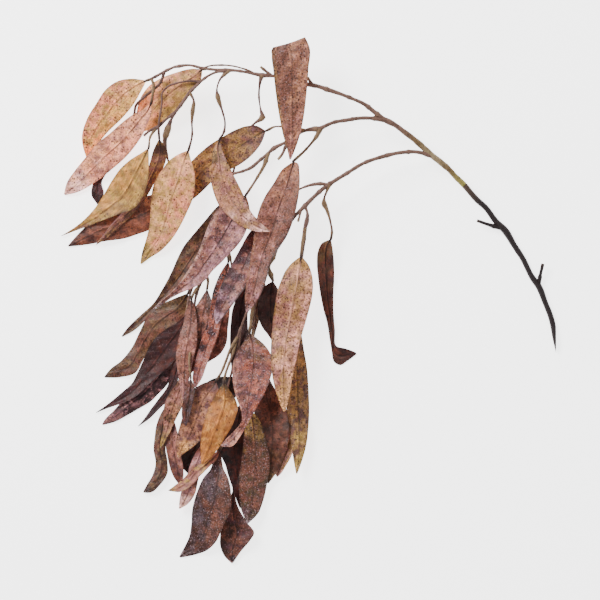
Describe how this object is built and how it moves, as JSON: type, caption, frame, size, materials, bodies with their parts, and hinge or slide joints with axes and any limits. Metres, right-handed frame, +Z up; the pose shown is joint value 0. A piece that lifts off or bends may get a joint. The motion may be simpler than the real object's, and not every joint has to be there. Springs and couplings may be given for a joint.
{
  "type": "eucalyptus branch",
  "caption": "Cut eucalyptus branch lying flat: a bare dark stem, arching arms and layered sprays of long mottled leaves in mauve, ochre, rust and plum.",
  "frame": {"origin": "middle of the bounding box's underside, on the surface that the branch lies on", "axes": "+Z up, towards the side that is seen; +Y towards the top arm, with the leaves hanging to -Y; +X towards the cut end of the stem"},
  "size_m": [0.4972, 0.524, 0.0519],
  "materials": {
    "dark_bark": "matte dark bark",
    "tan_bark": "matte tan bark",
    "arm_end_skin": "satin mottled leaf",
    "salmon_skin": "satin mottled leaf",
    "hanging_skin": "satin mottled leaf",
    "middle_pink_skin": "satin mottled leaf",
    "dark_left_skin": "satin mottled leaf",
    "folded_skin": "satin mottled leaf",
    "olive_speckled_skin": "satin mottled leaf",
    "front_rose_skin": "satin mottled leaf",
    "mauve_left_skin": "satin mottled leaf",
    "left_fan_skin": "satin mottled leaf",
    "rose_skin": "satin mottled leaf",
    "plum_skin": "satin mottled leaf",
    "far_right_skin": "satin mottled leaf",
    "front_right_skin": "satin mottled leaf",
    "dark_plum_skin": "satin mottled leaf",
    "maroon_skin": "satin mottled leaf",
    "olive_back_skin": "satin mottled leaf",
    "black_long_skin": "satin mottled leaf",
    "black_back_skin": "satin mottled leaf",
    "mauve_rose_skin": "satin mottled leaf",
    "rust_orange_skin": "satin mottled leaf",
    "golden_skin": "satin mottled leaf",
    "chestnut_skin": "satin mottled leaf",
    "grey_sliver_skin": "satin mottled leaf",
    "foot_skin": "satin mottled leaf",
    "pink_skin": "satin mottled leaf"
  },
  "bodies": {
    "root": {"lower_stem": "dark_bark", "upper_stem_and_arms": "tan_bark", "arm_end_spray": "arm_end_skin", "salmon_leaf": "salmon_skin", "hanging_spray": "hanging_skin", "middle_pink_leaf": "middle_pink_skin", "dark_left_leaf": "dark_left_skin", "folded_leaf": "folded_skin", "olive_speckled_leaf": "olive_speckled_skin", "front_rose_leaf": "front_rose_skin", "mauve_left_leaf": "mauve_left_skin", "left_fan_spray": "left_fan_skin", "rose_spray": "rose_skin", "plum_spray": "plum_skin", "far_right_leaf": "far_right_skin", "front_right_spray": "front_right_skin", "dark_plum_leaf": "dark_plum_skin", "maroon_leaf": "maroon_skin", "olive_back_leaf": "olive_back_skin", "black_long_leaf": "black_long_skin", "black_back_leaf": "black_back_skin", "mauve_rose_leaf": "mauve_rose_skin", "rust_orange_leaf": "rust_orange_skin", "golden_leaf": "golden_skin", "chestnut_leaf": "chestnut_skin", "grey_sliver_leaf": "grey_sliver_skin", "foot_spray": "foot_skin", "pink_spray": "pink_skin"}
  },
  "joints": []
}
